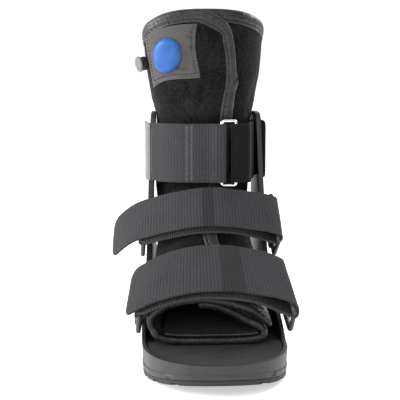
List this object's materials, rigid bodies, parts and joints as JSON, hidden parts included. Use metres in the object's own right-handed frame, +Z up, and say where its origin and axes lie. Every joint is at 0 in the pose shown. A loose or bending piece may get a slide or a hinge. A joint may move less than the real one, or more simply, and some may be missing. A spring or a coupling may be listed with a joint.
{
  "type": "orthopaedic walker boot",
  "caption": "Short open-toed walker boot: padded wrap liner, rocker sole, shell with uprights, strap rings, air pump and release valve.",
  "frame": {"origin": "on the floor under the middle of the sole, on the lug face between the forefoot's and the heel's flat spots", "axes": "+Z up the leg, -Y towards the toes, +X to the viewer's right in the picture"},
  "size_m": [0.1488, 0.2656, 0.2885],
  "materials": {
    "tread_rubber": "matte black tread rubber",
    "footbed_foam": "fine-pored charcoal foam",
    "shell_plastic": "satin dark grey moulded plastic",
    "liner_fabric": "black brushed loop fabric with grey vinyl binding",
    "insole_cloth": "black cloth with a bound edge",
    "strap_webbing": "dark grey hook-and-loop webbing",
    "ring_plastic": "grey moulded plastic",
    "ring_steel": "bright plated wire",
    "patch_cloth": "grey-brown plain weave with a stitched edge",
    "pump_rubber": "satin blue rubber",
    "valve_plastic": "black moulded plastic",
    "valve_cap": "light grey cap"
  },
  "bodies": {
    "boot": {"outsole": "tread_rubber", "footbed": "footbed_foam", "shell": "shell_plastic", "liner": "liner_fabric", "insole": "insole_cloth", "strap_low": "strap_webbing", "strap_mid": "strap_webbing", "strap_top": "strap_webbing", "strap_top_tab": "strap_webbing", "ring_low_left": "ring_plastic", "ring_low_right": "ring_plastic", "ring_mid_left": "ring_plastic", "ring_mid_right": "ring_plastic", "link_low_left": "ring_plastic", "link_low_right": "ring_plastic", "link_mid_left": "ring_plastic", "link_mid_right": "ring_plastic", "ring_top": "ring_steel", "pump_patch": "patch_cloth", "pump_bulb": "pump_rubber", "valve_body": "valve_plastic"},
    "button": {"valve_button": "valve_cap"}
  },
  "joints": [
    {"name": "valve_press", "type": "slide", "parent": "boot", "child": "button", "axis": [0.9202, 0.3589, 0.1565], "range_m": [0, 0.0012], "stiffness_N_per_m": 500}
  ]
}
